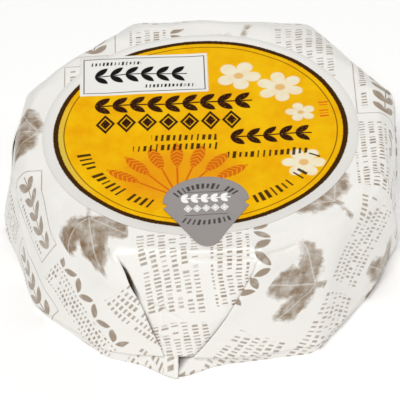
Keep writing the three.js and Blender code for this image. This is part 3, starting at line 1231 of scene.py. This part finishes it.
def wrapper_ink(press, x, y):
    """Strength of the ink on the wrapper, in blocks along bands that are shifted at random."""
    band = (x / CELL_WIDTH).floor()
    shifted = y + press.random(band, 0.0, PRINT_SEED) * CELL_LENGTH
    place = (shifted / CELL_LENGTH).floor()
    along = shifted - (place + 0.5) * CELL_LENGTH
    across = x - (band + 0.5) * CELL_WIDTH
    kind = press.random(band, place, PRINT_SEED + 2.0)
    vary = press.random(band, place, PRINT_SEED + 4.0)
    seed = vary * SEED_RANGE
    block = box_shape(along, across, *BLOCK_HALF)
    ticks = common(ruled_ticks(along, across, seed, *BLOCK_TICKS), block)
    headed = common(headed_block(along, across, seed), block)
    framed = framed_block(along, across, band, seed)
    ink = ticks.inked() * kind.between(-1.0, TICKS_END) * TICKS_INK
    ink = ink + headed.inked() * kind.between(TICKS_END, HEADED_END) * HEADED_INK
    ink = ink + framed.inked() * kind.between(HEADED_END, FRAMED_END) * FRAMED_INK
    ink = ink + brushed_leaf(press, along, across, vary, seed) * kind.between(FRAMED_END, BRUSHED_END)
    return ink * (press.noise(x * 0.5, y * 0.5, seed=31.0, detail=3.0) * 1.6 + 1.0).clamped(0.45, 1.0)


def wrapper_print():
    """White paper with blocks of faded taupe print, and dark brown painted shade where it lies inside a
    fold or a hem pocket.
    """
    press = Press("wrapper_print")
    x, y = press.sheet_coordinates()
    shade = press.noise(x * 0.06, y * 0.06, seed=2.0) * 0.5 + 0.5
    press.colour = press.mixed(WRAPPER_WHITE, WRAPPER_SHADE, shade)
    press.lay(WRAPPER_INK, wrapper_ink(press, x, y))
    # Painted shade: dark brown where the paper lies inside a fold or a hem pocket
    press.lay(PAINTED_SHADE_BROWN, press.painted_fold_shade())
    return press.printed(WRAPPER_PAPER, x, y)


# The label's print

def label_field(press, x, y, radius):
    """A mottled yellow disc, faded at its left edge, with a dark ring and a thin line, on a pale border
    with painted sheen that grows towards the back.
    """
    clouds = press.noise(x * 0.11, y * 0.11, seed=1.0, detail=3.0)
    specks = press.noise(x * 0.5, y * 0.35, seed=6.0, detail=4.0)
    mottle = (clouds * 2.2 + specks * 1.4 + 0.42).clamped(0.0, 1.0)
    yellow = press.mixed(LABEL_YELLOW, LABEL_AMBER, mottle)
    faded = (0.45 - x * 0.03).clamped(0.0, 1.0) * (1.4 - abs(y + 4.0) * 0.088).clamped(0.0, 1.0)
    yellow = press.mixed(yellow, LABEL_FADED, (radius - FADED_RADIUS).over(0.0) * faded)
    # Painted sheen: the border is lighter towards the back
    press.colour = press.mixed(BORDER_SHEEN_LOW, BORDER_SHEEN_HIGH, (y * 0.016 + 0.5).clamped(0.0, 1.0))
    press.lay(yellow, (radius - FIELD_RADIUS).inked())
    press.lay(LINE_INK, (abs(radius - LINE_RADIUS) - LINE_HALF).inked() * 0.85)
    grain = press.noise(x * 3.0, y * 3.0, seed=8.0) * 0.35
    press.lay(RING_INK, (abs(radius - RING_RADIUS) - RING_HALF + grain).inked())


def label_sheaf(press, x, y, inside):
    """A sheaf of grain on a hatched orange wash."""
    hatch = press.noise(x * 0.5, y * 2.5, seed=12.0, detail=3.0) * 6.0
    wash = ((x - SHEAF_X) * WASH_SQUEEZE).hypot(y - WASH_Y) - WASH_RADIUS + hatch
    press.lay(SHEAF_WASH, wash.inked(softness=5.0) * 0.6)
    sheaf = common(sheaf_shape(x - SHEAF_X, y - SHEAF_Y), inside)
    press.lay(SHEAF_INK, sheaf.inked() * 0.9)


def label_blossoms(press, x, y, inside):
    """Cream blossoms with amber middles."""
    petals = []
    middles = []
    for blossom_x, blossom_y, radius, *form in BLOSSOMS:
        across, up = x - blossom_x, y - blossom_y
        petals.append(blossom_shape(across, up, radius, *form))
        middles.append(across.hypot(up) - BLOSSOM_MIDDLE * radius)
    cloud = (press.noise(x * 0.4, y * 0.4, seed=14.0, detail=3.0) * 0.8 + 0.92).clamped(0.6, 1.0)
    press.lay(BLOSSOM_CREAM, common(joined(*petals), inside).inked(softness=0.45) * cloud)
    press.lay(BLOSSOM_AMBER, joined(*middles).inked(softness=0.4) * 0.7)


def label_rows(press, x, y):
    """Worn dark garlands and lozenges, with rows of ticks between them, round the edge and up the right."""
    worn = (press.noise(x * 2.2, y * 2.2, seed=21.0) * 2.6 + 1.25).clamped(0.55, 1.0)
    rows = joined(each(garland_shape, x, y, LABEL_GARLANDS), lozenge_row(x, y, *LABEL_LOZENGES))
    press.lay(GARLAND_INK, rows.inked() * worn)
    press.lay(UPRIGHT_INK, caption_shape(y, x, *UPRIGHT_CAPTION).inked() * 0.85)
    captions = joined(each(caption_shape, x, y, LABEL_CAPTIONS), each(arc_ticks, x, y, LABEL_ARCS))
    press.lay(CAPTION_INK, captions.inked() * 0.95)


def white_box(press, x, y):
    """A box across the label's edge, with a thin frame round a garland and two short rows of ticks."""
    middle_x, middle_y = (BOX_LEFT + BOX_RIGHT) / 2, (BOX_BOTTOM + BOX_TOP) / 2
    half_x, half_y = (BOX_RIGHT - BOX_LEFT) / 2, (BOX_TOP - BOX_BOTTOM) / 2
    outside = box_shape(x - middle_x, y - middle_y, half_x, half_y)
    teeth = x - BOX_RIGHT + y.pingpong(BOX_TOOTH) * BOX_TOOTH_DEPTH
    press.lay(BOX_WHITE, common(outside, teeth).inked())
    frame = abs(outside + BOX_LINE_INSET) - BOX_LINE
    captions = each(caption_shape, x, y, BOX_CAPTIONS)
    press.lay(BOX_INK, joined(frame, garland_shape(x, y, *BOX_GARLAND), captions).inked())


def label_print():
    """Yellow paper with a picture of grain and blossoms, dark rows across it, and a white box."""
    press = Press("label_print")
    x, y = press.sheet_coordinates()
    radius = x.hypot(y)
    inside = radius - PICTURE_RADIUS
    label_field(press, x, y, radius)
    label_sheaf(press, x, y, inside)
    label_blossoms(press, x, y, inside)
    label_rows(press, x, y)
    white_box(press, x, y)
    return press.printed(LABEL_PAPER, x, y)


def badge_print():
    """Grey paper with two thin rules, dark ticks on arcs, and pale leaves and lozenges between them."""
    press = Press("badge_print")
    x, y = press.sheet_coordinates()
    along = x - BADGE_X
    shade = press.noise(x * 0.3, y * 0.3, seed=1.0) * 0.8 + 0.5
    press.colour = press.mixed(BADGE_GREY, BADGE_SHADE, shade)
    rules = [box_shape(along, y - level, *BADGE_RULE) for level in BADGE_RULE_LEVELS]
    press.lay(BADGE_INK, joined(each(arc_ticks, along, y, BADGE_ARCS), *rules).inked() * 0.9)
    pale = joined(garland_shape(along, y, *BADGE_GARLAND), lozenge_row(along, y, *BADGE_LOZENGES))
    press.lay(BADGE_PALE, pale.inked())
    return press.printed(BADGE_PAPER, x, y)


# The studio

def floor_material():
    """White that glows a little."""
    return Press("floor_white").finished({
        "Base Color": FLOOR_WHITE,
        "Roughness": FLOOR_ROUGHNESS,
        "Specular IOR Level": FLOOR_SPECULAR,
        "Emission Color": GLOW_WHITE,
        "Emission Strength": FLOOR_GLOW,
    })


def make_floor():
    mesh = bpy.data.meshes.new("floor")
    half = FLOOR_HALF_WIDTH * MM
    corners = [(-half, -half, 0), (half, -half, 0), (half, half, 0), (-half, half, 0)]
    mesh.from_pydata(corners, [], [(0, 1, 2, 3)])
    mesh.materials.append(floor_material())
    add_object("floor", mesh)


def look_rotation(position, aim, roll):
    """Rotation that looks from position to aim, turned clockwise by roll degrees."""
    forward = (aim - position).normalized()
    tracked = forward.to_track_quat("-Z", "Y").to_matrix()
    return tracked @ Matrix.Rotation(math.radians(-roll), 3, "Z")


def make_camera():
    data = bpy.data.cameras.new("camera")
    data.sensor_width = SENSOR_WIDTH
    data.lens = LENS
    camera = add_object("camera", data)
    tilt = math.radians(CAMERA_ELEVATION)
    label_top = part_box("label")[1].z
    back = Vector((0, -math.cos(tilt), math.sin(tilt)))
    position = Vector((0, 0, label_top)) + back * CAMERA_DISTANCE * MM
    turn = look_rotation(position, Vector(CAMERA_AIM) * MM, CAMERA_ROLL)
    camera.matrix_world = Matrix.Translation(position) @ turn.to_4x4()
    bpy.context.scene.camera = camera


def make_world():
    world = bpy.data.worlds.new("studio")
    world.use_nodes = True
    background = world.node_tree.nodes["Background"]
    background.inputs["Color"].default_value = WORLD_COLOUR
    background.inputs["Strength"].default_value = WORLD_STRENGTH
    bpy.context.scene.world = world


def make_light(name, position, size, power):
    data = bpy.data.lights.new(name, "AREA")
    data.size = size
    data.energy = power
    light = add_object(name, data)
    place = Vector(position)
    turn = look_rotation(place, Vector(LIGHT_AIM), 0)
    light.matrix_world = Matrix.Translation(place) @ turn.to_4x4()
    light.visible_camera = False


bpy.context.scene.view_settings.view_transform = "Standard"
make_camera()
make_world()
for light in LIGHTS:
    make_light(*light)
make_floor()
make_wrapper(wrapper_print())
make_label(label_print())
make_badge(badge_print())
